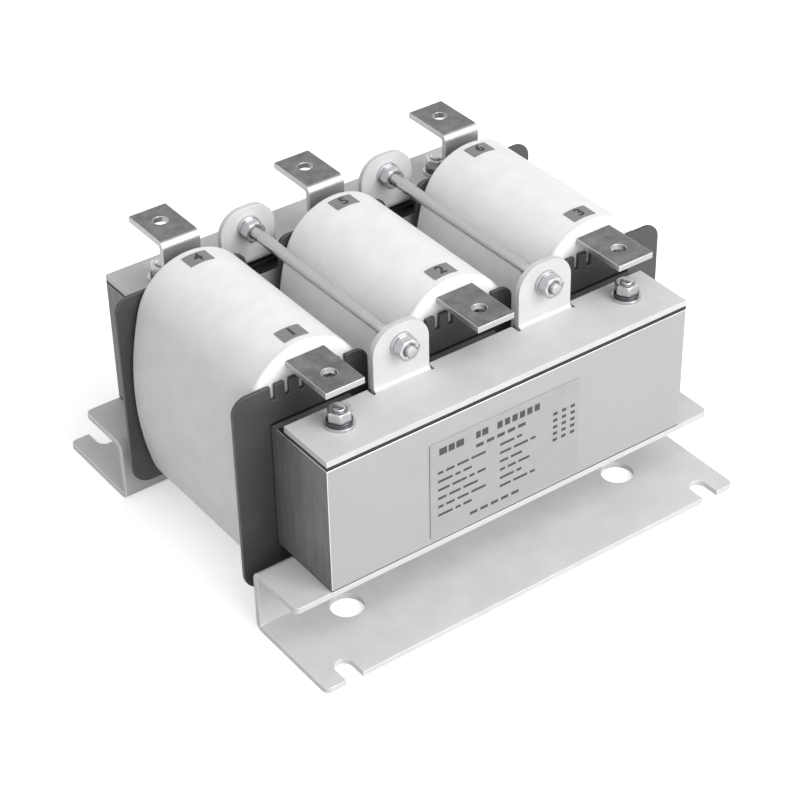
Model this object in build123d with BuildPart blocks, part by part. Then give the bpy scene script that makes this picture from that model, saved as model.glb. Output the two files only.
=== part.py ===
from build123d import *
import os

os.makedirs("parts", exist_ok=True)

# A three-phase output reactor. X runs along the row of coils, the label side faces -Y, Z is up.
# The origin is on the floor, midway between the two feet and under the middle coil.

# Core
pitch = 80.0
limb_width = 40.0
limb_length = 100.0
stack_height = 65.5
yoke_depth = 38.0
gap_thickness = 3.0
top_strip_thickness = 2.0
bottom_strip_thickness = 0.5

# Folded sheet: two foot brackets under the yokes, two clamps over them
sheet = 3.0
bend_inside = 2.0
bracket_length = 238.0
bracket_height = 34.0
web_setback = 4.0
foot_reach = 112.0
sheet_corner = 3.0
foot_slot_width = 9.0
foot_slot_spacing = 208.0
foot_slot_depth = 12.5
access_hole = 16.0
clamp_depth = 32.0
ear_width = 30.0
ear_height = 29.5
ear_corner = 12.5
bend_relief = 1.5

# Bobbins
bobbin_clearance = 0.5
bobbin_wall = 2.0
flange_thickness = 2.0
flange_half_height = 52.5
flange_outboard = 39.0
flange_inboard = 31.0
flange_bottom_round = 10.0
flange_outboard_round = 8.0
flange_inboard_round = 6.0
comb_count = 6
comb_pitch = 7.3
comb_width = 2.4
comb_depth = 7.5

# Windings in their tape
coil_half_width = 34.8
coil_half_height = 64.25
coil_rise = 1.75
crown_radius = 30.0
tape_thickness = 1.5
tape_chamfer = 1.6
winding_clearance = 0.2

# Terminals
bar_width = 20.0
bar_thickness = 3.0
bar_hole = 7.0
bar_hole_from_end = 12.0
bar_root = 14.0
bar_clearance = 0.3
front_bar_reach = 77.5
front_bar_rise = 28.0
rear_bar_reach = 81.5
rear_bar_rise = 37.5
rear_bar_bend_inside = 1.0
rear_bar_over_flange = 1.0
rear_bar_beyond_flange = 2.0

# Yoke bolts
bolt_diameter = 6.0
bolt_hole = 7.0
bolt_flats = 10.0
bolt_head_height = 4.0
bolt_nut_height = 5.0
bolt_washer = 14.0
bolt_washer_thickness = 1.5
spring_washer = 11.8
spring_washer_thickness = 1.6
spring_washer_split = 1.2
bolt_tip = 1.0

# Tie rods
rod_diameter = 6.0
rod_hole = 6.6
rod_below_ear_top = 10.5
rod_height_low = 17.0
rod_flats = 10.0
rod_nut_height = 5.0
rod_washer = 12.0
rod_washer_thickness = 1.6
rod_tip = 2.0
thread_clearance = 0.05

# Plate and labels
plate_width = 84.0
plate_height = 52.0
plate_thickness = 0.5
plate_corner = 1.0
plate_offset = -5.0
plate_drop = 4.0
label_width = 12.4
label_length = 8.6
label_thickness = 0.3
label_gap = 0.05
label_from_end = 5.5

# Places worked out from the sizes above
coil_places = [-pitch, 0.0, pitch]
rod_places = [-pitch / 2, pitch / 2]
bolt_places = [-pitch, pitch]
yoke_length = 2 * pitch + limb_width
core_bottom = bracket_height + bottom_strip_thickness
core_top = core_bottom + stack_height
core_middle = core_bottom + stack_height / 2
yoke_inner = limb_length / 2 + gap_thickness
yoke_outer = yoke_inner + yoke_depth
yoke_middle = yoke_inner + yoke_depth / 2
web_face = yoke_inner + web_setback
clamp_bottom = core_top + top_strip_thickness
clamp_top = clamp_bottom + sheet
clamp_inner = yoke_outer - clamp_depth
fold_end = clamp_inner + bend_inside + 2 * sheet
ear_top = clamp_top + ear_height
rod_height_high = ear_top - rod_below_ear_top
bobbin_half = limb_length / 2 - bobbin_clearance
tube_width = limb_width + 2 * (bobbin_clearance + bobbin_wall)
tube_height = stack_height + 2 * (bobbin_clearance + bobbin_wall)
coil_half_length = bobbin_half - flange_thickness - winding_clearance
coil_middle = core_middle + coil_rise
bar_start = coil_half_length - bar_root
rear_bar_leg = bobbin_half + rear_bar_beyond_flange
rear_bar_root = core_middle + flange_half_height + rear_bar_over_flange + bar_thickness
sides = {"front": -1, "rear": 1}
bar_top = {"front": core_top + front_bar_rise, "rear": core_top + rear_bar_rise}
bar_root_top = {"front": bar_top["front"], "rear": rear_bar_root}
bar_reach = {"front": front_bar_reach, "rear": rear_bar_reach}


def across(side):
    """The XZ plane whose normal points away from the coils on that side."""
    return Plane(origin=(0, 0, 0), x_dir=(1, 0, 0) if side < 0 else (-1, 0, 0), z_dir=(0, side, 0))


def oval(inset):
    """Draw a coil's domed section, drawn in by inset: a round crown and belly on long bulging sides."""
    half_width = coil_half_width - inset
    half_height = coil_half_height - inset
    crown = crown_radius - inset
    rise = half_height - crown
    side = (half_width**2 + rise**2 - crown**2) / (2 * (half_width - crown))
    reach = side - crown
    joint_x = crown * (side - half_width) / reach
    joint_z = rise + crown * rise / reach
    ThreePointArc((-joint_x, joint_z), (0, half_height), (joint_x, joint_z))
    ThreePointArc((joint_x, joint_z), (half_width, 0), (joint_x, -joint_z))
    ThreePointArc((joint_x, -joint_z), (0, -half_height), (-joint_x, -joint_z))
    ThreePointArc((-joint_x, -joint_z), (-half_width, 0), (-joint_x, joint_z))


def save(piece, name):
    piece.part.label = name
    export_step(piece.part, f"parts/{name}.step")


# Yokes: one stack of flat laminations in front of the coils and one behind, drilled for the bolts
for name, side in sides.items():
    with BuildPart() as yoke:
        with Locations((0, side * yoke_middle, core_bottom)):
            Box(yoke_length, yoke_depth, stack_height, align=(Align.CENTER, Align.CENTER, Align.MIN))
        with Locations([(x, side * yoke_middle, core_top) for x in bolt_places]):
            Hole(bolt_hole / 2, stack_height)
    save(yoke, f"yoke_{name}")

# Limbs: one stack through each coil, with a pad at each end that sets the air gap
for number, x in enumerate(coil_places, 1):
    with BuildPart() as limb:
        with Locations((x, 0, core_middle)):
            Box(limb_width, limb_length, stack_height)
    save(limb, f"limb_{number}")
    for name, side in sides.items():
        with BuildPart() as pad:
            with Locations((x, side * (limb_length + gap_thickness) / 2, core_middle)):
                Box(limb_width, gap_thickness, stack_height)
        save(pad, f"gap_pad_{name}_{number}")

# Insulating strips between the stacks and the sheet parts that hold them
strip_levels = {"top": (core_top, clamp_bottom), "bottom": (bracket_height, core_bottom)}
for name, side in sides.items():
    for level, (low, high) in strip_levels.items():
        with BuildPart() as strip:
            with Locations((0, side * yoke_outer, low)):
                Box(
                    yoke_length,
                    clamp_depth,
                    high - low,
                    align=(Align.CENTER, Align.MIN if side < 0 else Align.MAX, Align.MIN),
                )
            with Locations([(x, side * yoke_middle, high) for x in bolt_places]):
                Hole(bolt_hole / 2, high - low)
        save(strip, f"strip_{level}_{name}")

# Foot brackets: sheet folded to a channel, its web beside the coils and both flanges turned outwards
for name, side in sides.items():
    with BuildPart() as bracket:
        with BuildSketch(Plane.YZ.offset(-bracket_length / 2)) as channel:
            with BuildLine():
                Polyline(
                    (side * yoke_outer, bracket_height),
                    (side * web_face, bracket_height),
                    (side * web_face, 0),
                    (side * foot_reach, 0),
                    (side * foot_reach, sheet),
                    (side * (web_face + sheet), sheet),
                    (side * (web_face + sheet), bracket_height - sheet),
                    (side * yoke_outer, bracket_height - sheet),
                    close=True,
                )
            make_face()
            outside = [v for v in channel.vertices() if abs(abs(v.X) - web_face) < 0.01]
            inside = [v for v in channel.vertices() if abs(abs(v.X) - web_face - sheet) < 0.01]
            fillet(outside, bend_inside + sheet)
            fillet(inside, bend_inside)
        extrude(amount=bracket_length)
        with BuildSketch(Plane.XY) as slots:
            for x in (-foot_slot_spacing / 2, foot_slot_spacing / 2):
                with Locations((x, side * (foot_reach - foot_slot_depth + foot_slot_width / 2))):
                    Circle(foot_slot_width / 2)
                with Locations((x, side * (foot_reach - (foot_slot_depth - foot_slot_width / 2) / 2))):
                    Rectangle(foot_slot_width, foot_slot_depth - foot_slot_width / 2)
        extrude(amount=sheet, mode=Mode.SUBTRACT)
        with Locations([(x, side * yoke_middle, sheet) for x in bolt_places]):
            Hole(access_hole / 2, sheet)
        with Locations([(x, side * yoke_middle, bracket_height) for x in bolt_places]):
            Hole(bolt_hole / 2, sheet)
        with BuildSketch(across(side).offset(web_face)):
            with Locations([(x, rod_height_low) for x in rod_places]):
                Circle(rod_hole / 2)
        extrude(amount=sheet, mode=Mode.SUBTRACT)
        corners = [
            e
            for e in bracket.edges().filter_by(Axis.Z)
            if abs(abs(e.center().X) - bracket_length / 2) < 0.01
            and min(abs(abs(e.center().Y) - foot_reach), abs(abs(e.center().Y) - yoke_outer)) < 0.01
        ]
        fillet(corners, sheet_corner)
    save(bracket, f"foot_bracket_{name}")

# Top clamps: a sheet over the yoke with two ears folded up beside the coils
for name, side in sides.items():
    with BuildPart() as clamp:
        with Locations((0, side * (yoke_outer + clamp_inner) / 2, clamp_bottom)):
            Box(yoke_length, clamp_depth, sheet, align=(Align.CENTER, Align.CENTER, Align.MIN))
        with Locations([(x, side * clamp_inner, clamp_bottom) for x in rod_places]):
            Box(
                ear_width + 2 * bend_relief,
                bend_inside + sheet,
                sheet,
                align=(Align.CENTER, Align.MIN if side > 0 else Align.MAX, Align.MIN),
                mode=Mode.SUBTRACT,
            )
        for x in rod_places:
            with BuildSketch(Plane.YZ.offset(x - ear_width / 2)) as fold:
                with BuildLine():
                    Polyline(
                        (side * clamp_inner, clamp_bottom),
                        (side * fold_end, clamp_bottom),
                        (side * fold_end, clamp_top),
                        (side * (clamp_inner + sheet), clamp_top),
                        (side * (clamp_inner + sheet), ear_top),
                        (side * clamp_inner, ear_top),
                        close=True,
                    )
                make_face()
                outer_bend = (side * clamp_inner, clamp_bottom, 0)
                fillet(fold.vertices().sort_by_distance(outer_bend)[0], bend_inside + sheet)
                inner_bend = (side * (clamp_inner + sheet), clamp_top, 0)
                fillet(fold.vertices().sort_by_distance(inner_bend)[0], bend_inside)
            extrude(amount=ear_width)
        fillet(clamp.edges().filter_by(Axis.Y).group_by(Axis.Z)[-1], ear_corner)
        with BuildSketch(across(side).offset(clamp_inner)):
            with Locations([(x, rod_height_high) for x in rod_places]):
                Circle(rod_hole / 2)
        extrude(amount=sheet, mode=Mode.SUBTRACT)
        with Locations([(x, side * yoke_middle, clamp_top) for x in bolt_places]):
            Hole(bolt_hole / 2, sheet)
    save(clamp, f"top_clamp_{name}")

# Bobbins: a moulded tube over each limb with a flange at each end. The outer coils' flanges reach
# further outwards, and a comb in each top edge lets the leads and tapes through.
for number, x in enumerate(coil_places, 1):
    left = flange_outboard if number == 1 else flange_inboard
    right = flange_outboard if number == len(coil_places) else flange_inboard
    with BuildPart() as bobbin:
        with Locations((x, 0, core_middle)):
            Box(tube_width, 2 * bobbin_half, tube_height)
        for side in sides.values():
            with BuildSketch(Plane.XZ.offset(-side * (bobbin_half - flange_thickness / 2))) as flange:
                high = core_middle + flange_half_height
                with Locations((x + (right - left) / 2, core_middle)):
                    Rectangle(left + right, 2 * flange_half_height)
                for reach, corner in ((left, x - left), (right, x + right)):
                    outboard = reach == flange_outboard
                    upper = flange.vertices().sort_by_distance((corner, high, 0))[0]
                    fillet(upper, flange_outboard_round if outboard else flange_inboard_round)
                fillet(flange.vertices().group_by(Axis.Y)[0], flange_bottom_round)
                notches = [(i - (comb_count - 1) / 2) * comb_pitch for i in range(comb_count)]
                with Locations([(x + notch, high) for notch in notches]):
                    Rectangle(comb_width, 2 * comb_depth, mode=Mode.SUBTRACT)
            extrude(amount=flange_thickness / 2, both=True)
        with Locations((x, 0, core_middle)):
            Box(
                limb_width + 2 * bobbin_clearance,
                limb_length,
                stack_height + 2 * bobbin_clearance,
                mode=Mode.SUBTRACT,
            )
    save(bobbin, f"bobbin_{number}")

# Coils


def coil_form(x, inset, edge_cut=0.0):
    """The domed coil at x, drawn in by inset all round, with the edges of both ends cut back."""
    half_length = coil_half_length - inset
    with BuildPart() as form:
        with BuildSketch(Plane(origin=(x, half_length, coil_middle), x_dir=(1, 0, 0), z_dir=(0, -1, 0))):
            with BuildLine():
                oval(inset)
            make_face()
        extrude(amount=2 * half_length)
        if edge_cut:
            ends = form.faces().sort_by(Axis.Y)
            chamfer(ends[0].edges() + ends[-1].edges(), edge_cut)
    return form.part


def bar_pocket(x, name):
    """The space that a terminal's root takes in the coil's end, with its clearance."""
    side = sides[name]
    with BuildPart() as pocket:
        with Locations((x, side * (bar_start - bar_clearance), bar_root_top[name] + bar_clearance)):
            Box(
                bar_width + 2 * bar_clearance,
                bar_root + 2 * bar_clearance,
                bar_thickness + 2 * bar_clearance,
                align=(Align.CENTER, Align.MIN if side > 0 else Align.MAX, Align.MAX),
            )
    return pocket.part


# Windings, and the white tape that closes round each of them up to the bobbin's tube
for number, x in enumerate(coil_places, 1):
    wound = coil_form(x, tape_thickness)
    taped = coil_form(x, 0, tape_chamfer)
    pockets = [bar_pocket(x, name) for name in sides]
    with BuildPart() as winding:
        add(wound)
        with Locations((x, 0, core_middle)):
            Box(tube_width, 2 * coil_half_length, tube_height, mode=Mode.SUBTRACT)
        add(pockets, mode=Mode.SUBTRACT)
    save(winding, f"winding_{number}")
    with BuildPart() as tape_wrap:
        add(taped)
        add(wound, mode=Mode.SUBTRACT)
        with Locations((x, 0, core_middle)):
            Box(tube_width, 2 * coil_half_length, tube_height, mode=Mode.SUBTRACT)
        add(pockets, mode=Mode.SUBTRACT)
    save(tape_wrap, f"tape_wrap_{number}")

# Terminals: a flat bar out of each end of each coil. The front ones run straight out under the tape,
# the rear ones pass over the flange and are bent up and out again, clear of the clamp.
front_bar = [(bar_start, bar_top["front"]), (front_bar_reach, bar_top["front"])]
rear_bar = [
    (bar_start, rear_bar_root),
    (rear_bar_leg, rear_bar_root),
    (rear_bar_leg, bar_top["rear"]),
    (rear_bar_reach, bar_top["rear"]),
]
rear_bar_under = [
    (bar_start, rear_bar_root - bar_thickness),
    (rear_bar_leg + bar_thickness, rear_bar_root - bar_thickness),
    (rear_bar_leg + bar_thickness, bar_top["rear"] - bar_thickness),
    (rear_bar_reach, bar_top["rear"] - bar_thickness),
]
bar_upper = {"front": front_bar, "rear": rear_bar}
bar_under = {"front": [(y, z - bar_thickness) for y, z in front_bar], "rear": rear_bar_under}
bend_outside = rear_bar_bend_inside + bar_thickness
bend_radii = [rear_bar_bend_inside, bend_outside, bend_outside, rear_bar_bend_inside]
for name, side in sides.items():
    upper = bar_upper[name]
    under = bar_under[name]
    for number, x in enumerate(coil_places, 1):
        with BuildPart() as terminal:
            with BuildSketch(Plane.YZ.offset(x - bar_width / 2)) as profile:
                with BuildLine():
                    Polyline([(side * y, z) for y, z in upper + under[::-1]], close=True)
                make_face()
                for (y, z), radius in zip(upper[1:-1] + under[1:-1], bend_radii):
                    fillet(profile.vertices().sort_by_distance((side * y, z, 0))[0], radius)
            extrude(amount=bar_width)
            with Locations((x, side * (bar_reach[name] - bar_hole_from_end), bar_top[name])):
                Hole(bar_hole / 2, bar_thickness)
        save(terminal, f"terminal_{name}_{number}")

# Fasteners


def hexagon(flats, height, bore=0.0):
    """A plain hexagon across the given flats, with its bore where it is a nut."""
    with BuildPart() as block:
        with BuildSketch():
            RegularPolygon(flats / 2, 6, major_radius=False)
            if bore:
                Circle(bore / 2, mode=Mode.SUBTRACT)
        extrude(amount=height)
    return block.part


def ring(outer, bore, height, split=0.0):
    """A washer, with a slit through one side where it is a spring washer."""
    with BuildPart() as washer:
        with BuildSketch():
            Circle(outer / 2)
            Circle(bore / 2, mode=Mode.SUBTRACT)
            if split:
                with Locations((outer / 2, 0)):
                    Rectangle(outer, split, mode=Mode.SUBTRACT)
        extrude(amount=height)
    return washer.part


def place(piece, name, planes):
    """Save copies of a fastener, each standing on its own plane, as one group."""
    with BuildPart() as group:
        with Locations(*planes):
            add(piece)
    save(group, name)


# Tie rods: one pair joins the ears over the coils and one pair joins the webs under them. An ear is
# held by a nut and washer on both sides, a web is drawn in by the outer ones alone.
rod_levels = {"high": (rod_height_high, clamp_inner), "low": (rod_height_low, web_face)}
washer_seats = []
nut_seats = []
for level, (height, face) in rod_levels.items():
    rod_half = face + sheet + rod_washer_thickness + rod_nut_height + rod_tip
    for end, x in {"left": rod_places[0], "right": rod_places[1]}.items():
        with BuildPart() as tie_rod:
            with BuildSketch(Plane(origin=(x, rod_half, height), x_dir=(1, 0, 0), z_dir=(0, -1, 0))):
                Circle(rod_diameter / 2)
            extrude(amount=2 * rod_half)
        save(tie_rod, f"tie_rod_{level}_{end}")
        for side in sides.values():
            seats = [(face + sheet, side)]
            if level == "high":
                seats.append((face, -side))
            for seat, facing in seats:
                origin = (x, side * seat, height)
                washer_seats.append(Plane(origin=origin, x_dir=(1, 0, 0), z_dir=(0, facing, 0)))
                nut_seats.append(washer_seats[-1].offset(rod_washer_thickness))
rod_bore = rod_diameter + 2 * thread_clearance
place(ring(rod_washer, rod_bore, rod_washer_thickness), "tie_rod_washers", washer_seats)
place(hexagon(rod_flats, rod_nut_height, rod_bore), "tie_rod_nuts", nut_seats)

# Yoke bolts: up through bracket, strips, yoke and clamp, with the nut on top
bolt_bore = bolt_diameter + 2 * thread_clearance
bolt_centres = [(x, side * yoke_middle) for x in bolt_places for side in sides.values()]
head_seat = bracket_height - sheet - bolt_washer_thickness
spring_seat = clamp_top + bolt_washer_thickness
nut_seat = spring_seat + spring_washer_thickness
bolt_end = nut_seat + bolt_nut_height + bolt_tip
bolt_head = hexagon(bolt_flats, bolt_head_height)
with BuildPart() as bolt:
    add(bolt_head)
    with Locations((0, 0, bolt_head_height)):
        Cylinder(bolt_diameter / 2, bolt_end - head_seat, align=(Align.CENTER, Align.CENTER, Align.MIN))


def level_planes(height):
    return [Plane(origin=(x, y, height)) for x, y in bolt_centres]


place(bolt.part, "yoke_bolts", level_planes(head_seat - bolt_head_height))
place(
    ring(bolt_washer, bolt_bore, bolt_washer_thickness),
    "yoke_washers",
    level_planes(clamp_top) + level_planes(head_seat),
)
place(
    ring(spring_washer, bolt_bore, spring_washer_thickness, spring_washer_split),
    "yoke_spring_washers",
    level_planes(spring_seat),
)
place(hexagon(bolt_flats, bolt_nut_height, bolt_bore), "yoke_nuts", level_planes(nut_seat))

# The bare plate on the front yoke
plate_centre = (plate_offset, -yoke_outer, core_middle - plate_drop)
with BuildPart() as nameplate:
    with BuildSketch(Plane(origin=plate_centre, x_dir=(1, 0, 0), z_dir=(0, -1, 0))):
        RectangleRounded(plate_width, plate_height, plate_corner)
    extrude(amount=plate_thickness)
save(nameplate, "nameplate")

# Phase labels: a small film bent over the crown by each end of each coil
label_inner = crown_radius + label_gap
label_outer = label_inner + label_thickness
label_reach = coil_half_length - label_from_end
crown_centre = coil_middle + coil_half_height - crown_radius
for name, side in sides.items():
    for number, x in enumerate(coil_places, 1):
        origin = (x, side * label_reach, crown_centre)
        with BuildPart() as label:
            with BuildSketch(Plane(origin=origin, x_dir=(1, 0, 0), z_dir=(0, -1, 0))):
                Circle(label_outer)
                Circle(label_inner, mode=Mode.SUBTRACT)
                with Locations((0, crown_radius)):
                    Rectangle(label_width, crown_radius, mode=Mode.INTERSECT)
            extrude(amount=side * label_length)
        save(label, f"phase_label_{name}_{number}")
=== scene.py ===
from math import cos, pi, radians, sin, sqrt

import bmesh
import bpy
from mathutils import Matrix, Vector


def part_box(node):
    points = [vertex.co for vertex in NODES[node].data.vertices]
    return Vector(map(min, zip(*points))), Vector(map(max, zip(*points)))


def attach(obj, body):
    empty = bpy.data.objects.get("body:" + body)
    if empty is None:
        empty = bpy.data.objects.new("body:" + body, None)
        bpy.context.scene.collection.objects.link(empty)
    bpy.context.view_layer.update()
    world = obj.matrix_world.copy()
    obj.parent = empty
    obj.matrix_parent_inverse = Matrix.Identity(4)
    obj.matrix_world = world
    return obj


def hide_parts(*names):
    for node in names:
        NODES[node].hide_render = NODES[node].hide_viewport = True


bl_info = {
    "name": "AC Output Reactor",
    "version": (1, 0, 0),
    "blender": (4, 5, 0),
    "location": "3D View > Sidebar > Reactor",
    "description": "Dresses a three-phase output reactor: core, taped coils, bars, brackets and fasteners",
    "category": "Add Mesh",
}

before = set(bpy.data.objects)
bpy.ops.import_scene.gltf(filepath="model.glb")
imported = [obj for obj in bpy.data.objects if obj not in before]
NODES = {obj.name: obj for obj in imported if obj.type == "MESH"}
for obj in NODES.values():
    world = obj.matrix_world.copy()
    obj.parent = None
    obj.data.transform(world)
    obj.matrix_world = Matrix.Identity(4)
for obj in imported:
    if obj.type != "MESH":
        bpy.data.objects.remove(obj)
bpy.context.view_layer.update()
MM = 0.001
COILS = (1, 2, 3)
SIDES = ("front", "rear")

# Points closer than this are one point
SAME_PLACE = 0.001 * MM
# Faces of a CAD mesh that turn less than this are one flat face
FLAT_TURN = radians(0.3)
# Edges that turn more than this are sharp
SHARP_TURN = radians(28)
# Lays a piece that is made along Z down along Y
ALONG_Y = Matrix.Rotation(-pi / 2, 4, "X")

# Points round a coil, a hexagon and a thread
COIL_POINTS = 144
HEXAGON_POINTS = 48
THREAD_POINTS = 32

# A thread's depth, the end of its root and the start and end of its crest, as shares of the pitch
THREAD_DEPTH = 0.54
ROOT_END = 0.1
CREST_START = 0.45
CREST_END = 0.65

# A hexagon's corners are turned off at 30 degrees from this share of its flats outwards
TURNED_SHARE = 0.95
TURNED_SLOPE = 1 / sqrt(3)


def linear(hex_colour):
    """An sRGB hex colour as the linear RGBA that a shader takes."""
    channels = [int(hex_colour[i : i + 2], 16) / 255 for i in (1, 3, 5)]
    return [c / 12.92 if c <= 0.04045 else ((c + 0.055) / 1.055) ** 2.4 for c in channels] + [1.0]


def colour(hex_colour, name, description):
    """A colour that a user may change."""
    default = linear(hex_colour)
    return bpy.props.FloatVectorProperty(
        name=name, description=description, subtype="COLOR", size=4, min=0, max=1, default=default
    )


def length(millimetres, name, description):
    """A length that a user may change."""
    default = millimetres * MM
    return bpy.props.FloatProperty(
        name=name, description=description, subtype="DISTANCE", unit="LENGTH", min=0, default=default
    )


class ReactorSizes(bpy.types.PropertyGroup):
    """Sizes of what is finished here and not in the frame."""

    sheet_edge: length(0.35, "Sheet edge", "How far the sheared edges of the folded sheet are rounded")
    core_edge: length(0.25, "Core edge", "How far the corners of the lamination stacks are rounded")
    moulding_edge: length(0.4, "Moulding edge", "Edge radius of the moulded bobbins")
    bar_edge: length(0.3, "Bar edge", "How far the terminal bars' sheared edges are rounded")
    fastener_edge: length(0.2, "Fastener edge", "How far the edges of washers are rounded")
    plate_edge: length(0.1, "Plate edge", "How far the foil plate's edges are rounded")
    film_edge: length(0.05, "Film edge", "How far the edges of the phase labels are rounded")
    lamination: length(1.0, "Lamination", "Sheet spacing drawn on the stacks; 0.5 mm would not show")
    crown: length(30.0, "Crown", "Radius of the coil's round top and belly")
    tube_wall: length(2.6, "Tube wall", "From the limb to the inside of the tape, past the bobbin's tube")
    tape_shoulder: length(2.8, "Tape shoulder", "Radius of the coil's rounded ends")
    tape_step: length(0.16, "Tape step", "Height of each turn's edge on the rounded ends")
    tape_turn: length(13.0, "Tape turn", "Spacing of the tape's turns along the coil")
    thread_radius: length(3.0, "Thread radius", "Outer radius of the M6 threads")
    thread_pitch: length(1.0, "Thread pitch", "Pitch of the M6 threads")
    thread_run: length(24, "Rod thread", "Length of thread at each end of a tie rod")
    thread_below_nut: length(3.0, "Thread below nut", "Length of yoke bolt thread below its nut")
    bore_sink: length(0.4, "Bore sink", "Depth of the sunk edge at each end of a nut's bore")
    bolt_head: length(4.0, "Bolt head", "Height of the yoke bolts' heads")
    print_lift: length(0.04, "Print lift", "From the plate's face to the face of its print")
    label_lift: length(0.35, "Label lift", "From the coil's crown to the face of a phase label")
    digit_height: length(6.0, "Digit height", "Height of the digit on each phase label")
    digit_lift: length(0.03, "Digit lift", "From a phase label's face to the face of its digit")
    digit_strip: length(0.6, "Digit strip", "Width of the strips that let a digit bend round the coil")


class ReactorColours(bpy.types.PropertyGroup):
    """Colours of the finishes."""

    tape: colour("#E9E9E9", "Tape", "White polyester tape")
    clamp: colour("#CDCDCE", "Top clamp", "Zinc plated sheet of the top clamps")
    bracket: colour("#CDCDCE", "Foot bracket", "Zinc plated sheet of the foot brackets")
    # Painted highlight: the brackets' bevelled edges are drawn near white
    zinc_edge: colour("#FAFAFA", "Zinc edge", "Bright broken edges of the brackets")
    fastener: colour("#CBCBCD", "Fasteners", "Bright zinc plated fasteners")
    # Drawn dark: oiled spring steel, and painted shade in the crevice between nut and washer
    spring_steel: colour("#5E5E60", "Spring washers", "Oiled spring steel")
    rod: colour("#C2C2C4", "Tie rods", "Dull zinc plated threaded rod")
    core_face: colour("#A9A9AA", "Core face", "Varnished face of the stacks")
    core_end: colour("#6E6E70", "Core end", "Sheared ends of the stacks")
    core_top: colour("#1E1E20", "Core top", "Dark oxide on the flat of the outermost sheet")
    # Painted highlight: the stacks' bevelled corners are drawn this light
    core_corner: colour("#E4E4E5", "Core corner", "Corners of the stacks, rubbed bright")
    bobbin: colour("#3F3F41", "Bobbin", "Dark glass filled moulding")
    # Black board, drawn black partly as a painted shadow gap under the clamps and over the brackets
    insulation: colour("#0C0C0D", "Insulation", "Black insulating board")
    gap_board: colour("#565658", "Gap board", "Dark laminate board in the air gaps")
    # Painted reflection: bar flats are drawn darker, and upright faces, bends and edges lighter
    bar_flat: colour("#767678", "Bar face", "Dulled tin on the flat of a tab")
    bar_edge: colour("#C4C4C6", "Bar edge", "Bright tin on the bends and edges")
    plate: colour("#A1A1A2", "Plate", "Foil plate")
    print_ink: colour("#3C3C3E", "Print", "Dark bars printed on the plate")
    label: colour("#7C7C7E", "Label", "Grey film of the phase labels")
    label_ink: colour("#161617", "Label ink", "Digits on the phase labels")
    copper: colour("#B56A48", "Copper", "Enamelled winding wire")
    floor: colour("#F7F7F7", "Floor", "Pale studio floor")


def settings(context):
    """The sizes and colours as the user has set them."""
    return context.scene.reactor_sizes, context.scene.reactor_colours


# Shader nodes


def add(tree, kind, inputs=None, **options):
    """Add a shader node with its options; an input is a value or the socket that feeds it."""
    node = tree.nodes.new(kind)
    for key, value in options.items():
        setattr(node, key, value)
    for key, value in (inputs or {}).items():
        if isinstance(value, bpy.types.NodeSocket):
            tree.links.new(value, node.inputs[key])
        else:
            node.inputs[key].default_value = value
    return node


def new_material(name, finish):
    """A material with the constants of its finish, and the nodes that its patterns are linked to."""
    material = bpy.data.materials.new(name)
    material.use_nodes = True
    tree = material.node_tree
    tree.nodes.clear()
    place = add(tree, "ShaderNodeTexCoord")
    shader = add(tree, "ShaderNodeBsdfPrincipled", finish)
    add(tree, "ShaderNodeOutputMaterial", {"Surface": shader.outputs["BSDF"]})
    return material, tree, place, shader


def grit(tree, place, size_mm, stretch=(1, 1, 1), detail=3.0):
    """Noise whose grain is about size_mm across, drawn out along the axes where stretch is small."""
    mapping = add(tree, "ShaderNodeMapping", {"Vector": place.outputs["Object"], "Scale": stretch})
    grain = {"Scale": 1 / (size_mm * MM), "Detail": detail, "Roughness": 0.55}
    noise = add(tree, "ShaderNodeTexNoise", {"Vector": mapping.outputs["Vector"], **grain})
    return noise.outputs["Fac"]


def spread(tree, value, low, high, new_low=0.0, new_high=1.0):
    """A value's way from low to high, as a way from new_low to new_high."""
    inputs = {"Value": value, "From Min": low, "From Max": high, "To Min": new_low, "To Max": new_high}
    return add(tree, "ShaderNodeMapRange", inputs, clamp=True).outputs["Result"]


def blend_colours(tree, factor, first, second):
    """Two colours mixed; the Mix node keeps its colours at inputs 6 and 7 and at output 2."""
    inputs = {0: factor, 6: first, 7: second}
    return add(tree, "ShaderNodeMix", inputs, data_type="RGBA", clamp_factor=True).outputs[2]


def shade(rgba, factor):
    """A colour made darker or lighter."""
    return [min(1.0, c * factor) for c in rgba[:3]] + [1.0]


def vary(tree, noise, low, high, reach=0.2):
    """A number that goes from low to high as the noise crosses its middle, within reach of it."""
    middle = 0.5
    return spread(tree, noise, middle - reach, middle + reach, low, high)


def mottle(tree, noise, rgba, darker, lighter, reach=0.2):
    """A colour that goes from a darker to a lighter shade of itself with the noise."""
    share = vary(tree, noise, 0.0, 1.0, reach)
    return blend_colours(tree, share, shade(rgba, darker), shade(rgba, lighter))


def levelness(tree, place):
    """1 on level faces, falling to 0 on upright ones."""
    facing = add(tree, "ShaderNodeSeparateXYZ", {"Vector": place.outputs["Normal"]})
    return add(tree, "ShaderNodeMath", {0: facing.outputs["Z"]}, operation="ABSOLUTE").outputs[0]


def bump(tree, shader, height, depth_mm, strength):
    """Let a pattern of height, up to depth_mm deep, tilt the light on a surface."""
    inputs = {"Height": height, "Distance": depth_mm * MM, "Strength": strength}
    tree.links.new(add(tree, "ShaderNodeBump", inputs).outputs["Normal"], shader.inputs["Normal"])


def seen_rays(tree):
    """1 for what the camera sees, itself, in metal or through glass, and 0 for the light on the object."""
    rays = add(tree, "ShaderNodeLightPath")
    seen = rays.outputs["Is Camera Ray"]
    for kind in ("Is Glossy Ray", "Is Transmission Ray"):
        seen = add(tree, "ShaderNodeMath", {0: seen, 1: rays.outputs[kind]}, operation="MAXIMUM").outputs[0]
    return seen


# Materials


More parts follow.
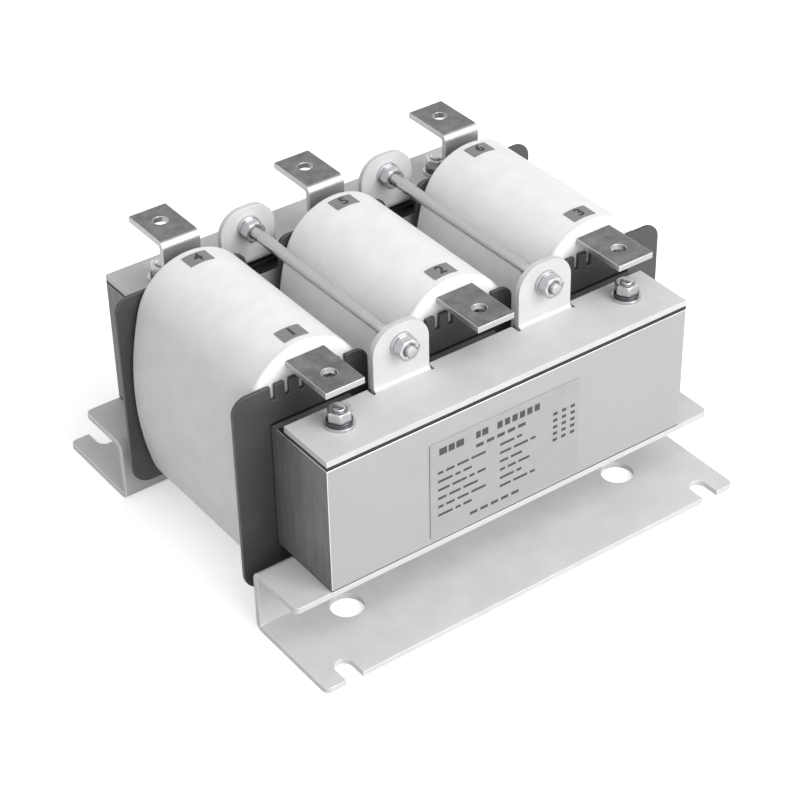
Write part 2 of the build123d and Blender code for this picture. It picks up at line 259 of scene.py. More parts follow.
def taped_polyester(colours):
    """Polyester tape, wound on and varnished: soft white, faintly clouded where the varnish soaked in."""
    finish = {"Roughness": 0.5, "Specular IOR Level": 0.35}
    material, tree, place, shader = new_material("varnished_polyester_tape", finish)
    cloud = grit(tree, place, 11, detail=6.0)
    # Fibres run across the tape, and are drawn coarser than the real ones, which would not show
    fibre = grit(tree, place, 1.1, stretch=(1.0, 0.12, 1.0))
    tree.links.new(mottle(tree, cloud, colours.tape, 0.96, 1.02, reach=0.15), shader.inputs["Base Color"])
    bump(tree, shader, fibre, 0.05, 0.5)
    return material


def rolled_zinc(name, face):
    """Zinc plated steel, cold rolled: a soft grey metal with a fine grain along the sheet."""
    finish = {"Metallic": 0.12, "Specular IOR Level": 0.3}
    material, tree, place, shader = new_material(name, finish)
    bloom = grit(tree, place, 14)
    grain = grit(tree, place, 0.5, stretch=(0.08, 1.0, 1.0))
    tree.links.new(mottle(tree, bloom, face, 0.94, 1.03), shader.inputs["Base Color"])
    tree.links.new(vary(tree, grain, 0.42, 0.52), shader.inputs["Roughness"])
    bump(tree, shader, grain, 0.02, 0.4)
    return material


def painted_highlight_edge(name, face):
    """A painted highlight on a broken metal edge: lighter and smoother than the face beside it."""
    finish = {"Roughness": 0.32, "Metallic": 0.75}
    material, tree, place, shader = new_material(name, finish)
    # The painted highlight's tone varies at random along the edge
    highlight_mottle = grit(tree, place, 3)
    tree.links.new(mottle(tree, highlight_mottle, face, 0.9, 1.0, reach=0.15), shader.inputs["Base Color"])
    return material


def plated_fastener(name, face):
    """Machined steel under a thin coat: sharp small highlights between darker flats."""
    finish = {"Roughness": 0.28, "Metallic": 0.95}
    material, tree, place, shader = new_material(name, finish)
    turned = grit(tree, place, 0.6)
    tree.links.new(mottle(tree, turned, face, 0.8, 1.0), shader.inputs["Base Color"])
    bump(tree, shader, turned, 0.01, 0.5)
    return material


def fastener_steel(colours):
    """The bright steel that nuts, bolts and washers share, made where it is first asked for."""
    name = "bright_zinc_fastener"
    return bpy.data.materials.get(name) or plated_fastener(name, colours.fastener)


def laminated_steel(colours, sizes, end_x):
    """Varnished silicon steel sheets pressed in a stack: faint level lines, darker where they were cut."""
    finish = {"Roughness": 0.45, "Metallic": 0.2}
    material, tree, place, shader = new_material("varnished_laminations", finish)
    # The lines stand twice as far apart as the real sheets, whose edges would not show
    # At scale 1 the Wave texture turns by 20 radians in each unit of length
    wave_turn = 20
    lines = add(
        tree,
        "ShaderNodeTexWave",
        {
            "Vector": place.outputs["Object"],
            "Scale": 2 * pi / (wave_turn * sizes.lamination),
            "Distortion": 0.4,
            "Detail": 1.0,
        },
        wave_type="BANDS",
        bands_direction="Z",
    )
    # The tone of the cut ends starts and is full just short of the end
    cut_start, cut_full = end_x - 0.4 * MM, end_x - 0.1 * MM
    axes = add(tree, "ShaderNodeSeparateXYZ", {"Vector": place.outputs["Object"]})
    outward = add(tree, "ShaderNodeMath", {0: axes.outputs["X"]}, operation="ABSOLUTE").outputs[0]
    streak = grit(tree, place, 3, stretch=(1.0, 1.0, 0.12))
    end_tone = mottle(tree, streak, colours.core_end, 0.8, 1.15)
    face_tone = mottle(tree, grit(tree, place, 30), colours.core_face, 0.96, 1.0)
    side_tone = blend_colours(tree, spread(tree, outward, cut_start, cut_full), face_tone, end_tone)
    on_top = spread(tree, levelness(tree, place), 0.9, 0.95)
    tone = blend_colours(tree, on_top, side_tone, colours.core_top)
    tree.links.new(tone, shader.inputs["Base Color"])
    bump(tree, shader, lines.outputs["Fac"], 0.03, 0.35)
    return material


def dense_plastic(name, face, roughness):
    """Moulded or pressed plastic, or enamel: dense, with a fine even grain and a low sheen."""
    material, tree, place, shader = new_material(name, {"Roughness": roughness})
    # The grain is drawn coarser than the real one, which would not show
    grain = grit(tree, place, 0.7)
    tree.links.new(mottle(tree, grit(tree, place, 18), face, 0.85, 1.1), shader.inputs["Base Color"])
    bump(tree, shader, grain, 0.03, 0.5)
    return material


def tinned_copper(colours):
    """Tinned copper bar, finely rubbed, with a painted reflection: darker on its flats, lighter on upright
    faces and bends.
    """
    material, tree, place, shader = new_material("tinned_copper_bar", {"Metallic": 0.9})
    rub = grit(tree, place, 0.9, stretch=(1.0, 0.1, 1.0))
    flat = mottle(tree, grit(tree, place, 6), colours.bar_flat, 0.75, 1.25)
    # Painted reflection: level faces take the darker flat tone, upright faces and bends a lighter one
    on_flat = spread(tree, levelness(tree, place), 0.75, 0.98)
    tone = blend_colours(tree, on_flat, shade(colours.bar_edge, 0.8), flat)
    tree.links.new(tone, shader.inputs["Base Color"])
    tree.links.new(vary(tree, rub, 0.3, 0.44), shader.inputs["Roughness"])
    bump(tree, shader, rub, 0.02, 0.4)
    return material


def printed_film(name, face, roughness):
    """Thin printed film or foil: even in colour, with the slight ripple of a glued sheet."""
    material, tree, place, shader = new_material(name, {"Roughness": roughness})
    ripple = grit(tree, place, 9, detail=1.0)
    tree.links.new(mottle(tree, ripple, face, 0.96, 1.02), shader.inputs["Base Color"])
    bump(tree, shader, ripple, 0.05, 0.3)
    return material


# Meshes


def merged_copy(node):
    """A bmesh of a CAD node with its loose triangles joined and its flat faces whole."""
    bm = bmesh.new()
    bm.from_mesh(NODES[node].data)
    bmesh.ops.remove_doubles(bm, verts=bm.verts, dist=SAME_PLACE)
    bmesh.ops.dissolve_limit(bm, angle_limit=FLAT_TURN, verts=bm.verts, edges=bm.edges)
    return bm


def break_edges(bm, width):
    """Round every sharp edge by width and return the new narrow faces."""
    edges = [e for e in bm.edges if e.is_manifold and e.calc_face_angle(0) > SHARP_TURN]
    result = bmesh.ops.bevel(
        bm,
        geom=edges,
        offset=width,
        offset_type="OFFSET",
        segments=2,
        profile=0.5,
        affect="EDGES",
        clamp_overlap=True,
        material=-1,
    )
    return result["faces"]


def finish_piece(name, bm, materials, slot, *replaced):
    """Turn a bmesh into a piece that rides on the reactor and stands for the CAD nodes it replaces."""
    mesh = bpy.data.meshes.new(name)
    for face in bm.faces:
        face.smooth = True
    bm.to_mesh(mesh)
    bm.free()
    for material in materials:
        mesh.materials.append(material)
    piece = bpy.data.objects.new(name, mesh)
    bpy.context.scene.collection.objects.link(piece)
    normals = piece.modifiers.new("face_normals", "WEIGHTED_NORMAL")
    normals.keep_sharp = True
    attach(piece, "root")
    if replaced:
        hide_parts(*replaced)


def dress(node, width, slot, face, edge=None):
    """Replace a CAD node with a copy whose edges are broken, with a painted highlight on them where an edge
    material is given.
    """
    bm = merged_copy(node)
    narrow = break_edges(bm, width)
    materials = [face]
    if edge:
        materials.append(edge)
        for item in narrow:
            item.material_index = 1
    finish_piece(f"{node}_dressed", bm, materials, slot, node)


def paint(node, material):
    """Give a finish to a CAD node that is kept as it is."""
    NODES[node].data.materials.clear()
    NODES[node].data.materials.append(material)


def loop_edges(bm, ring):
    """The edges of a closed ring of vertices."""
    return [bm.edges.get((ring[i - 1], ring[i])) for i in range(len(ring))]


def next_ring(bm, ring):
    """Extrude a closed ring of vertices and return the new ring, in the same order."""
    made = bmesh.ops.extrude_edge_only(bm, edges=loop_edges(bm, ring))["geom"]
    new_verts = {v for v in made if isinstance(v, bmesh.types.BMVert)}
    found = []
    for vert in ring:
        found.append(next(e.other_vert(vert) for e in vert.link_edges if e.other_vert(vert) in new_verts))
    return found


def join_rings(bm, last, first):
    """Close a ring-shaped skin from its last ring back to its first."""
    bmesh.ops.bridge_loops(bm, edges=loop_edges(bm, last) + loop_edges(bm, first))


def solids_of(node):
    """The lowest and highest corners of each separate solid in a node that groups like fasteners."""
    bm = merged_copy(node)
    left = set(bm.verts)
    boxes = []
    while left:
        solid, reached = set(), [left.pop()]
        while reached:
            vert = reached.pop()
            solid.add(vert)
            for edge in vert.link_edges:
                other = edge.other_vert(vert)
                if other in left:
                    left.discard(other)
                    reached.append(other)
        corners = [[pick(v.co[axis] for v in solid) for axis in range(3)] for pick in (min, max)]
        boxes.append([Vector(corner) for corner in corners])
    bm.free()
    return sorted(boxes, key=lambda box: tuple(box[0]))


def threaded_bar(bm, sizes, low, high, threads):
    """Add a round bar along Z with rolled thread between each pair of heights, and return its vertices."""
    radius, pitch = sizes.thread_radius, sizes.thread_pitch
    root = radius - THREAD_DEPTH * pitch
    outline = [(0.0, low), (root, low)]
    for start, end in threads:
        # A plain stretch before a thread widens to the thread's outer radius
        if outline[-1][1] < start:
            outline.append((radius, start))
        count = int((end - start) / pitch)
        for i in range(count):
            base = start + i * pitch
            outline.append((root, base + ROOT_END * pitch))
            outline.append((radius, base + CREST_START * pitch))
            outline.append((radius, base + CREST_END * pitch))
        outline.append((root, start + count * pitch))
    outline += [(root, high), (0.0, high)]
    others = set(bm.verts)
    verts = [bm.verts.new((r, 0, z)) for r, z in outline]
    profile = verts + [bm.edges.new(pair) for pair in zip(verts, verts[1:])]
    bmesh.ops.spin(
        bm, geom=profile, cent=(0, 0, 0), axis=(0, 0, 1), angle=2 * pi, steps=THREAD_POINTS, use_merge=True
    )
    bmesh.ops.remove_doubles(bm, verts=[v for v in bm.verts if v not in others], dist=SAME_PLACE)
    return [v for v in bm.verts if v not in others]


def hexagon(bm, corner, low, high, turned_ends, bore=0.0, sink=0.0):
    """Add a nut or bolt head along Z, its corners turned off at the ends named; return its vertices."""
    flat = corner * sqrt(3) / 2
    turned = TURNED_SHARE * flat

    def end_points(name, end, inward, flank):
        """Radius and height of the points at one end, from the bore out to the flank."""
        points = [(bore, end + inward * sink), (bore + sink, end)] if bore else []
        if name not in turned_ends:
            return points + [(flank, end)]
        return points + [(turned, end), (flank, end + inward * (flank - turned) * TURNED_SLOPE)]

    turns = [2 * pi * i / HEXAGON_POINTS for i in range(HEXAGON_POINTS)]
    columns = []
    for turn in turns:
        flank = flat / cos(turn % (pi / 3) - pi / 6)
        columns.append(end_points("low", low, 1, flank) + end_points("high", high, -1, flank)[::-1])
    first = bmesh.ops.create_circle(bm, segments=HEXAGON_POINTS, radius=flat)["verts"]
    ring, verts = first, []
    for points in zip(*columns):
        if verts:
            ring = next_ring(bm, ring)
        for vert, turn, (radius, height) in zip(ring, turns, points):
            vert.co = (radius * cos(turn), radius * sin(turn), height)
        verts += ring
    if bore:
        join_rings(bm, ring, first)
    else:
        bmesh.ops.edgeloop_fill(bm, edges=loop_edges(bm, first) + loop_edges(bm, ring))
    return verts


def nuts(node, sizes, along_y):
    """Every nut of a node that groups them, each where its solid stands."""
    bm = bmesh.new()
    turn = ALONG_Y if along_y else Matrix.Identity(4)
    for low, high in solids_of(node):
        middle, half = (low + high) / 2, (high - low) / 2
        reach = half.y if along_y else half.z
        made = hexagon(bm, half.x, -reach, reach, ("low", "high"), sizes.thread_radius, sizes.bore_sink)
        bmesh.ops.transform(bm, matrix=Matrix.Translation(middle) @ turn, verts=made)
    bmesh.ops.recalc_face_normals(bm, faces=bm.faces)
    return bm


# Pieces


class REACTOR_OT_core(bpy.types.Operator):
    """Dress the yokes, limbs, gap pads and insulating strips"""

    bl_idname = "reactor.core"
    bl_label = "Core"

    def execute(self, context):
        sizes, colours = settings(context)
        end_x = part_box("yoke_front")[1].x
        stack = laminated_steel(colours, sizes, end_x)
        # The yokes' bevelled corners carry a painted highlight
        corner = painted_highlight_edge("stack_corner_painted_highlight", colours.core_corner)
        board = dense_plastic("pressed_laminate_board", colours.gap_board, 0.6)
        black = dense_plastic("black_board_and_shadow_gap", colours.insulation, 0.6)
        for side in SIDES:
            dress(f"yoke_{side}", sizes.core_edge, "core_steel", stack, corner)
            for level in ("top", "bottom"):
                # The black strips stand partly for a painted shadow gap along the yokes
                dress(f"strip_{level}_{side}", sizes.core_edge, "insulation", black)
            for coil in COILS:
                paint(f"gap_pad_{side}_{coil}", board)
        for coil in COILS:
            paint(f"limb_{coil}", stack)
        return {"FINISHED"}


class REACTOR_OT_sheet(bpy.types.Operator):
    """Dress the folded foot brackets and top clamps"""

    bl_idname = "reactor.sheet"
    bl_label = "Brackets and clamps"

    def execute(self, context):
        sizes, colours = settings(context)
        clamp = rolled_zinc("zinc_plated_clamp_sheet", colours.clamp)
        bracket = rolled_zinc("zinc_plated_bracket_sheet", colours.bracket)
        # The brackets' bevelled edges carry a painted highlight
        edge = painted_highlight_edge("bracket_edge_painted_highlight", colours.zinc_edge)
        for side in SIDES:
            dress(f"top_clamp_{side}", sizes.sheet_edge, "zinc_sheet", clamp)
            dress(f"foot_bracket_{side}", sizes.sheet_edge, "zinc_sheet", bracket, edge)
        return {"FINISHED"}


class REACTOR_OT_bobbins(bpy.types.Operator):
    """Dress the moulded bobbins"""

    bl_idname = "reactor.bobbins"
    bl_label = "Bobbins"

    def execute(self, context):
        sizes, colours = settings(context)
        plastic = dense_plastic("moulded_glass_filled_polyamide", colours.bobbin, 0.42)
        for coil in COILS:
            dress(f"bobbin_{coil}", sizes.moulding_edge, "bobbin_plastic", plastic)
        return {"FINISHED"}


class Oval:
    """The coil's section: a round crown and belly joined by long bulging sides, all meeting smoothly."""

    def __init__(self, half_width, half_height, crown):
        self.crown = crown
        self.rise = half_height - crown
        self.side = (half_width**2 + self.rise**2 - crown**2) / (2 * (half_width - crown))
        self.shift = self.side - half_width

    def point(self, turn, inset):
        """Where the outward normal points at turn, counted from straight up, drawn in by inset."""
        across, up = sin(turn), cos(turn)
        on_crown = abs(up) * self.shift >= abs(across) * self.rise
        radius = (self.crown if on_crown else self.side) - inset
        centre_x = 0.0 if on_crown else -self.shift * (1 if across > 0 else -1)
        centre_z = self.rise * (1 if up > 0 else -1) if on_crown else 0.0
        return centre_x + radius * across, centre_z + radius * up


class REACTOR_OT_coils(bpy.types.Operator):
    """Build the taped coils, with rounded and stepped ends"""

    bl_idname = "reactor.coils"
    bl_label = "Taped coils"

    # Rings round a rounded end, and the length along the coil of the step between two of them
    SHOULDER_RINGS = 9
    EDGE_RUN = 0.12 * MM
    # The laps close together at the front, in millimetres from the rounded end
    FRONT_LAPS = (1.0, 2.2, 3.8, 6.0)
    # Depth of the laps behind them, as a share of theirs
    OTHER_LAPS = 0.5
    # From a lap's edge to where it is deepest, then to where it is nearly level, and the depth left there
    LAP_FALL = 0.25 * MM
    LAP_RISE = 0.9 * MM
    LAP_REST = 0.3

    def execute(self, context):
        sizes, colours = settings(context)
        tape = taped_polyester(colours)
        wire = dense_plastic("enamelled_copper", colours.copper, 0.35)
        for coil in COILS:
            bm = self.taped_coil(coil, sizes)
            finish_piece(f"taped_coil_{coil}", bm, [tape], "white_tape", f"tape_wrap_{coil}")
            paint(f"winding_{coil}", wire)
        return {"FINISHED"}

    def taped_coil(self, coil, sizes):
        """Skin a coil ring by ring, from the tunnel's front rim over the tape to its rear rim."""
        low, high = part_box(f"tape_wrap_{coil}")
        middle, half = (low + high) / 2, (high - low) / 2
        section = Oval(half.x, half.z, sizes.crown)
        turns = [2 * pi * i / COIL_POINTS for i in range(COIL_POINTS)]

        def outline(inset):
            points = [section.point(turn, inset) for turn in turns]
            return [Vector((middle.x + x, middle.z + z)) for x, z in points]

        tunnel = self.tunnel(outline(sizes.tape_shoulder), coil, sizes)
        layers = [(-half.y, tunnel)]
        layers += [(y, outline(inset)) for y, inset in self.rings(half.y, sizes)]
        layers.append((half.y, tunnel))
        bm = bmesh.new()
        first = bmesh.ops.create_circle(bm, segments=COIL_POINTS, radius=half.x)["verts"]
        ring = None
        for y, points in layers:
            ring = next_ring(bm, ring) if ring else first
            for vert, (x, z) in zip(ring, points):
                vert.co = (x, middle.y + y, z)
        join_rings(bm, ring, first)
        bmesh.ops.recalc_face_normals(bm, faces=bm.faces)
        return bm

    def tunnel(self, outline, coil, sizes):
        """Points round the bobbin's tube, each straight in from the outline, with the four corners kept."""
        low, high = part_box(f"limb_{coil}")
        middle = Vector(((low.x + high.x) / 2, (low.z + high.z) / 2))
        half = Vector(((high.x - low.x) / 2 + sizes.tube_wall, (high.z - low.z) / 2 + sizes.tube_wall))
        points = []
        for target in outline:
            aim = target - middle
            points.append(middle + aim / max(abs(aim.x) / half.x, abs(aim.y) / half.y))
        for across in (-1, 1):
            for up in (-1, 1):
                corner = middle + Vector((across * half.x, up * half.y))
                nearest = min(range(len(points)), key=lambda i: (points[i] - corner).length)
                points[nearest] = corner
        return points

    def rings(self, half_length, sizes):
        """Place along the coil and inset of each ring, from the front end face to the rear one."""
        shoulder = sizes.tape_shoulder
        near = [(0.0, shoulder)]
        for i in range(1, self.SHOULDER_RINGS + 1):
            angle = pi / 2 * i / self.SHOULDER_RINGS
            inset = shoulder * (1 - sin(angle))
            along = shoulder * (1 - cos(angle))
            near.append((along, inset))
            if i < self.SHOULDER_RINGS:
                near.append((along + self.EDGE_RUN, max(0.0, inset - sizes.tape_step)))
        for along, inset in near:
            yield -half_length + along, inset
        for along, depth in self.laps(half_length, sizes):
            yield -half_length + along, 0.0
            yield -half_length + along + self.LAP_FALL, depth
            yield -half_length + along + self.LAP_RISE, depth * self.LAP_REST
        for along, inset in reversed(near):
            yield half_length - along, inset

    def laps(self, half_length, sizes):
        """Place from the front end and depth of each lap of the tape over the last turn."""
        starts = [sizes.tape_shoulder + lap * MM for lap in self.FRONT_LAPS]
        for along in starts:
            yield along, sizes.tape_step
        body = half_length * 2 - starts[-1] - sizes.tape_shoulder
        for i in range(1, int(body / sizes.tape_turn)):
            yield starts[-1] + sizes.tape_turn * i, sizes.tape_step * self.OTHER_LAPS


class REACTOR_OT_terminals(bpy.types.Operator):
    """Dress the flat terminal bars"""

    bl_idname = "reactor.terminals"
    bl_label = "Terminals"

    def execute(self, context):
        sizes, colours = settings(context)
        face = tinned_copper(colours)
        # The bars' bevelled edges carry a painted highlight
        edge = painted_highlight_edge("tin_edge_painted_highlight", colours.bar_edge)
        for side in SIDES:
            for coil in COILS:
                dress(f"terminal_{side}_{coil}", sizes.bar_edge, "tinned_bar", face, edge)
        return {"FINISHED"}


class REACTOR_OT_tie_rods(bpy.types.Operator):
    """Build the threaded tie rods and their nuts, and dress their washers"""

    bl_idname = "reactor.tie_rods"
    bl_label = "Tie rods"

    def execute(self, context):
        sizes, colours = settings(context)
        steel = fastener_steel(colours)
        rod = plated_fastener("dull_zinc_rod", colours.rod)
        run = sizes.thread_run
        for level in ("high", "low"):
            for end in ("left", "right"):
                node = f"tie_rod_{level}_{end}"
                low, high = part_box(node)
                middle = (low + high) / 2
                bm = bmesh.new()
                threaded_bar(bm, sizes, low.y, high.y, [(low.y, low.y + run), (high.y - run, high.y)])
                bmesh.ops.recalc_face_normals(bm, faces=bm.faces)
                bm.transform(Matrix.Translation((middle.x, 0, middle.z)) @ ALONG_Y)
                finish_piece(f"{node}_threaded", bm, [rod], "zinc_fastener", node)
        bm = nuts("tie_rod_nuts", sizes, along_y=True)
        finish_piece("tie_rod_nuts_turned", bm, [steel], "zinc_fastener", "tie_rod_nuts")
        dress("tie_rod_washers", sizes.fastener_edge, "zinc_fastener", steel)
        return {"FINISHED"}


class REACTOR_OT_yoke_bolts(bpy.types.Operator):
    """Build the threaded yoke bolts and their nuts, and dress their washers"""

    bl_idname = "reactor.yoke_bolts"
    bl_label = "Yoke bolts"

    def execute(self, context):
        sizes, colours = settings(context)
        steel = fastener_steel(colours)
        # The spring washers' dark colour is partly painted shade between nut and washer
        spring = plated_fastener("dark_spring_steel_and_painted_shade", colours.spring_steel)
        thread_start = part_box("yoke_nuts")[0].z - sizes.thread_below_nut
        bm = bmesh.new()
        for low, high in solids_of("yoke_bolts"):
            middle = (low + high) / 2
            under = low.z + sizes.bolt_head
            made = threaded_bar(bm, sizes, under, high.z, [(thread_start, high.z)])
            made += hexagon(bm, (high.x - low.x) / 2, low.z, under, ("low",))
            bmesh.ops.transform(bm, matrix=Matrix.Translation((middle.x, middle.y, 0)), verts=made)
        bmesh.ops.recalc_face_normals(bm, faces=bm.faces)
        finish_piece("yoke_bolts_threaded", bm, [steel], "zinc_fastener", "yoke_bolts")
        bm = nuts("yoke_nuts", sizes, along_y=False)
        finish_piece("yoke_nuts_turned", bm, [steel], "zinc_fastener", "yoke_nuts")
        dress("yoke_washers", sizes.fastener_edge, "zinc_fastener", steel)
        dress("yoke_spring_washers", sizes.fastener_edge, "zinc_fastener", spring)
        return {"FINISHED"}


class REACTOR_OT_nameplate(bpy.types.Operator):
    """Dress the front plate and lay generic printed fields on it"""

    bl_idname = "reactor.nameplate"
    bl_label = "Nameplate"

    # Shares of the plate: left and right of the heading's first words, bottom and top of single lines
    HEADING_WORDS = ((0.06, 0.11), (0.12, 0.16), (0.17, 0.22), (0.3, 0.33), (0.34, 0.38))
    HEADING = (0.86, 0.93)
    TYPE_LINE = (0.765, 0.8)
    FOOT_LINE = (0.07, 0.1)
    # Left of each column of rows and its words in a full row
    COLUMNS = ((0.05, 4), (0.46, 3))
    # Top of the first row, spacing and height of all
    ROW_TOP, ROW_PITCH, ROW_HEIGHT = 0.69, 0.09, 0.025
    # Width of a row's shortest word, what each longer kind adds, and the space after a word
    WORD, LONGER, SPACE = 0.035, 0.02, 0.018
    # Bottom of the first row of marks, spacing and height of all
    MARK_BOTTOM, MARK_PITCH, MARK_HEIGHT = 0.72, 0.07, 0.03

    def execute(self, context):
        sizes, colours = settings(context)
        foil = printed_film("printed_foil", colours.plate, 0.4)
        ink = printed_film("plate_ink", colours.print_ink, 0.6)
        dress("nameplate", sizes.plate_edge, "plate", foil)
        low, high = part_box("nameplate")
        width, height = high.x - low.x, high.z - low.z
        bm = bmesh.new()
        for (left, right), (bottom, top) in self.fields():
            made = bmesh.ops.create_cube(bm, size=1)["verts"]
            middle_x = low.x + width * (left + right) / 2
            middle_z = low.z + height * (bottom + top) / 2
            size = (width * (right - left), 2 * sizes.print_lift, height * (top - bottom), 1)
            place = Matrix.Translation((middle_x, low.y, middle_z)) @ Matrix.Diagonal(size)
            bmesh.ops.transform(bm, matrix=place, verts=made)
        finish_piece("plate_print", bm, [ink], "plate")
        return {"FINISHED"}

    @staticmethod
    def words(left, step, width, count):
        """Left and right of each of a line's words that are alike."""
        return [(left + step * i, left + step * i + width) for i in range(count)]

    def fields(self):
        """Short bars in place of print: left and right, and bottom and top, of each."""
        for word in [*self.HEADING_WORDS, *self.words(0.44, step=0.05, width=0.035, count=6)]:
            yield word, self.HEADING
        for word in self.words(0.3, step=0.07, width=0.05, count=5):
            yield word, self.TYPE_LINE
        yield from self.rows()
        for mark in self.words(0.82, step=0.06, width=0.03, count=3):
            for row in range(5):
                bottom = self.MARK_BOTTOM - self.MARK_PITCH * row
                yield mark, (bottom, bottom + self.MARK_HEIGHT)
        for word in self.words(0.26, step=0.07, width=0.05, count=5):
            yield word, self.FOOT_LINE

    def rows(self):
        """Six rows in two columns, with words of four widths in an uneven order, as print has."""
        for row in range(6):
            top = self.ROW_TOP - self.ROW_PITCH * row
            for left, words in self.COLUMNS:
                for word in range(words - (row + words) % 2):
                    width = self.WORD + self.LONGER * ((3 * row + 5 * word + words) % 4)
                    yield (left, left + width), (top - self.ROW_HEIGHT, top)
                    left += width + self.SPACE


class REACTOR_OT_labels(bpy.types.Operator):
    """Dress the phase labels and put a plain digit on each"""

    bl_idname = "reactor.labels"
    bl_label = "Phase labels"

    # The font's size for a digit's height of 1, and how much its strokes are thickened for that height
    FONT_SIZE = 1.35
    STROKE_GAIN = 0.035
    # Cuts on each side of a digit's middle, and how close to a cut a point counts as lying on it
    CUTS = 4
    CUT_REACH = SAME_PLACE / 10

    def execute(self, context):
        sizes, colours = settings(context)
        film = printed_film("grey_label_film", colours.label, 0.45)
        ink = printed_film("label_ink", colours.label_ink, 0.5)
        radius = sizes.crown + sizes.label_lift
        for row, side in enumerate(SIDES):
            for coil in COILS:
                node = f"phase_label_{side}_{coil}"
                low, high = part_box(node)
                dress(node, sizes.film_edge, "label_film", film)
                bm = self.digit(str(coil + row * len(COILS)), sizes)
                crown = Vector(((low.x + high.x) / 2, (low.y + high.y) / 2, high.z - radius))
                for vert in bm.verts:
                    turn = vert.co.x / radius
                    reach = radius + vert.co.z
                    vert.co = crown + Vector((reach * sin(turn), vert.co.y, reach * cos(turn)))
                finish_piece(f"digit_{side}_{coil}", bm, [ink], "label_film")
        return {"FINISHED"}

    def digit(self, text, sizes):
        """A digit lying flat, cut into narrow strips so that it can bend round the coil."""
        curve = bpy.data.curves.new("digit", "FONT")
        curve.body = text
        curve.size = sizes.digit_height * self.FONT_SIZE
        curve.extrude = sizes.digit_lift
        curve.offset = sizes.digit_height * self.STROKE_GAIN
        curve.align_x = "CENTER"
        curve.align_y = "CENTER"
        written = bpy.data.objects.new("digit", curve)
        bpy.context.scene.collection.objects.link(written)
        graph = bpy.context.evaluated_depsgraph_get()
        mesh = bpy.data.meshes.new_from_object(written.evaluated_get(graph))
        bpy.data.objects.remove(written)
        bm = bmesh.new()
        bm.from_mesh(mesh)
        bpy.data.meshes.remove(mesh)
        bmesh.ops.remove_doubles(bm, verts=bm.verts, dist=SAME_PLACE)
        for i in range(-self.CUTS, self.CUTS + 1):
            geometry = bm.verts[:] + bm.edges[:] + bm.faces[:]
            cut = (i * sizes.digit_strip, 0, 0)
            bmesh.ops.bisect_plane(bm, geom=geometry, plane_co=cut, plane_no=(1, 0, 0), dist=self.CUT_REACH)
        return bm


# Stage


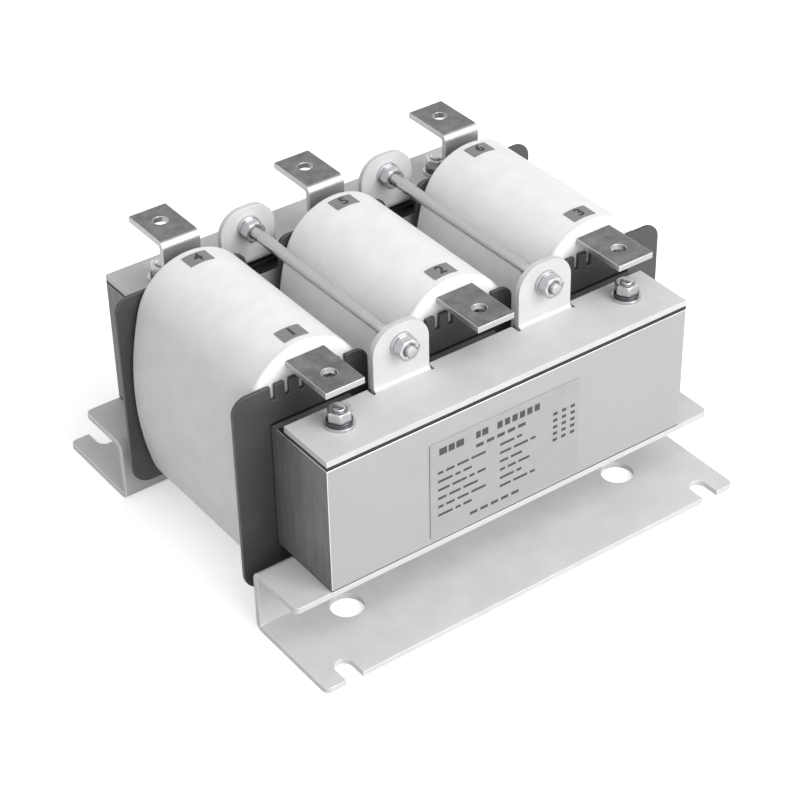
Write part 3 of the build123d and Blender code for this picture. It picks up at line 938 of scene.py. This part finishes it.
class REACTOR_OT_stage(bpy.types.Operator):
    """Lay the floor and set the world, lamps and camera"""

    bl_idname = "reactor.stage"
    bl_label = "Stage"

    # Place and size in metres and power in watts of each lamp
    LAMPS = {
        "key_from_the_front": ((0.35, -1.2, 1.45), 1.8, 26.0),
        "middle_front_fill": ((0.5, -1.5, 0.9), 1.0, 11.5),
        "low_front_fill": ((0.2, -1.7, 0.38), 1.0, 2.0),
        "front_left_fill": ((-0.8, -1.5, 0.5), 1.0, 4.0),
        "high_left_fill": ((-1.2, -0.7, 1.4), 1.0, 4.5),
        "low_rear_fill": ((0.0, 1.8, 0.3), 1.0, 5.0),
    }
    # The point that the lamps are aimed at, about halfway up the object
    LAMP_AIM = Vector((0, 0, 70)) * MM
    # Strength of the light that the white tent around the scene throws on the object
    TENT_LIGHT = 0.38
    # Half the floor's width, and how far from its middle its glow starts and stops to grow
    FLOOR_REACH = 6
    GLOW_START = 0.5
    GLOW_END = 1.5
    GLOW_NEAR = 0.45
    # Share of the floor's colour that lights the object from below
    FLOOR_RETURN = 0.5

    def execute(self, context):
        scene = context.scene
        scene.view_settings.view_transform = "Standard"
        self.floor(scene)
        self.world(scene)
        for name, (place, size, power) in self.LAMPS.items():
            self.lamp(scene, name, place, size, power)
        self.camera(scene)
        return {"FINISHED"}

    def floor(self, scene):
        """A pale floor that looks near white, more so far away, and throws less light back up."""
        finish = {"Roughness": 0.9, "Specular IOR Level": 0.0, "Emission Color": (1, 1, 1, 1)}
        material, tree, place, shader = new_material("pale_studio_floor", finish)
        pale = scene.reactor_colours.floor
        seen = seen_rays(tree)
        tone = blend_colours(tree, seen, shade(pale, self.FLOOR_RETURN), pale)
        tree.links.new(tone, shader.inputs["Base Color"])
        away = add(tree, "ShaderNodeVectorMath", {0: place.outputs["Object"]}, operation="LENGTH")
        glow = spread(tree, away.outputs["Value"], self.GLOW_START, self.GLOW_END, self.GLOW_NEAR, 1.0)
        glow = add(tree, "ShaderNodeMath", {0: glow, 1: seen}, operation="MULTIPLY").outputs[0]
        tree.links.new(glow, shader.inputs["Emission Strength"])
        bm = bmesh.new()
        bmesh.ops.create_grid(bm, x_segments=1, y_segments=1, size=self.FLOOR_REACH)
        mesh = bpy.data.meshes.new("studio_floor")
        bm.to_mesh(mesh)
        bm.free()
        mesh.materials.append(material)
        floor = bpy.data.objects.new("studio_floor", mesh)
        scene.collection.objects.link(floor)

    def world(self, scene):
        """White where the camera or a reflection sees it, and a softer sky for the object's own light."""
        world = bpy.data.worlds.new("soft_white_tent")
        scene.world = world
        world.use_nodes = True
        tree = world.node_tree
        tree.nodes.clear()
        strength = spread(tree, seen_rays(tree), 0, 1, self.TENT_LIGHT, 1.0)
        back = add(tree, "ShaderNodeBackground", {"Color": (1, 1, 1, 1), "Strength": strength})
        add(tree, "ShaderNodeOutputWorld", {"Surface": back.outputs["Background"]})

    def lamp(self, scene, name, place, size, power):
        """A square soft lamp aimed at the middle of the object."""
        data = bpy.data.lights.new(name, "AREA")
        data.shape = "SQUARE"
        data.size = size
        data.energy = power
        lamp = bpy.data.objects.new(name, data)
        lamp.location = place
        lamp.rotation_euler = (self.LAMP_AIM - Vector(place)).to_track_quat("-Z", "Y").to_euler()
        scene.collection.objects.link(lamp)

    def camera(self, scene):
        """The photograph's viewpoint: to the left in front, looking down, at about a metre."""
        azimuth, elevation, roll = radians(-35.47), radians(36.04), radians(-1.215)
        target = Vector((2.97, 0, 39.14)) * MM
        distance = 1069.96 * MM
        photo_width, focal_pixels, sensor_mm = 800, 2227.0, 36
        back = Vector((sin(azimuth) * cos(elevation), -cos(azimuth) * cos(elevation), sin(elevation)))
        right = Vector((cos(azimuth), sin(azimuth), 0))
        up = back.cross(right)
        level = Matrix((right, up, back)).transposed().to_4x4()
        data = bpy.data.cameras.new("photo_camera")
        data.sensor_width = sensor_mm
        data.lens = sensor_mm * focal_pixels / photo_width
        camera = bpy.data.objects.new("photo_camera", data)
        rolled = level @ Matrix.Rotation(roll, 4, "Z")
        camera.matrix_world = Matrix.Translation(target + back * distance) @ rolled
        scene.collection.objects.link(camera)
        scene.camera = camera


# Panel and start


class REACTOR_PT_panel(bpy.types.Panel):
    """The reactor's pieces, sizes and colours"""

    bl_idname = "REACTOR_PT_panel"
    bl_label = "Reactor"
    bl_space_type = "VIEW_3D"
    bl_region_type = "UI"
    bl_category = "Reactor"

    def draw(self, context):
        for operator in OPERATORS:
            self.layout.operator(operator.bl_idname)
        for group in settings(context):
            box = self.layout.box()
            for key in group.bl_rna.properties.keys():
                if key not in ("rna_type", "name"):
                    box.prop(group, key)


OPERATORS = (
    REACTOR_OT_core,
    REACTOR_OT_sheet,
    REACTOR_OT_bobbins,
    REACTOR_OT_coils,
    REACTOR_OT_terminals,
    REACTOR_OT_tie_rods,
    REACTOR_OT_yoke_bolts,
    REACTOR_OT_nameplate,
    REACTOR_OT_labels,
    REACTOR_OT_stage,
)
CLASSES = (ReactorSizes, ReactorColours, *OPERATORS, REACTOR_PT_panel)


def register():
    for item in CLASSES:
        bpy.utils.register_class(item)
    bpy.types.Scene.reactor_sizes = bpy.props.PointerProperty(type=ReactorSizes)
    bpy.types.Scene.reactor_colours = bpy.props.PointerProperty(type=ReactorColours)


def unregister():
    del bpy.types.Scene.reactor_colours
    del bpy.types.Scene.reactor_sizes
    for item in reversed(CLASSES):
        bpy.utils.unregister_class(item)


def main():
    register()
    bpy.ops.reactor.core()
    bpy.ops.reactor.sheet()
    bpy.ops.reactor.bobbins()
    bpy.ops.reactor.coils()
    bpy.ops.reactor.terminals()
    bpy.ops.reactor.tie_rods()
    bpy.ops.reactor.yoke_bolts()
    bpy.ops.reactor.nameplate()
    bpy.ops.reactor.labels()
    bpy.ops.reactor.stage()
    bpy.context.view_layer.update()


if __name__ == "__main__":
    main()
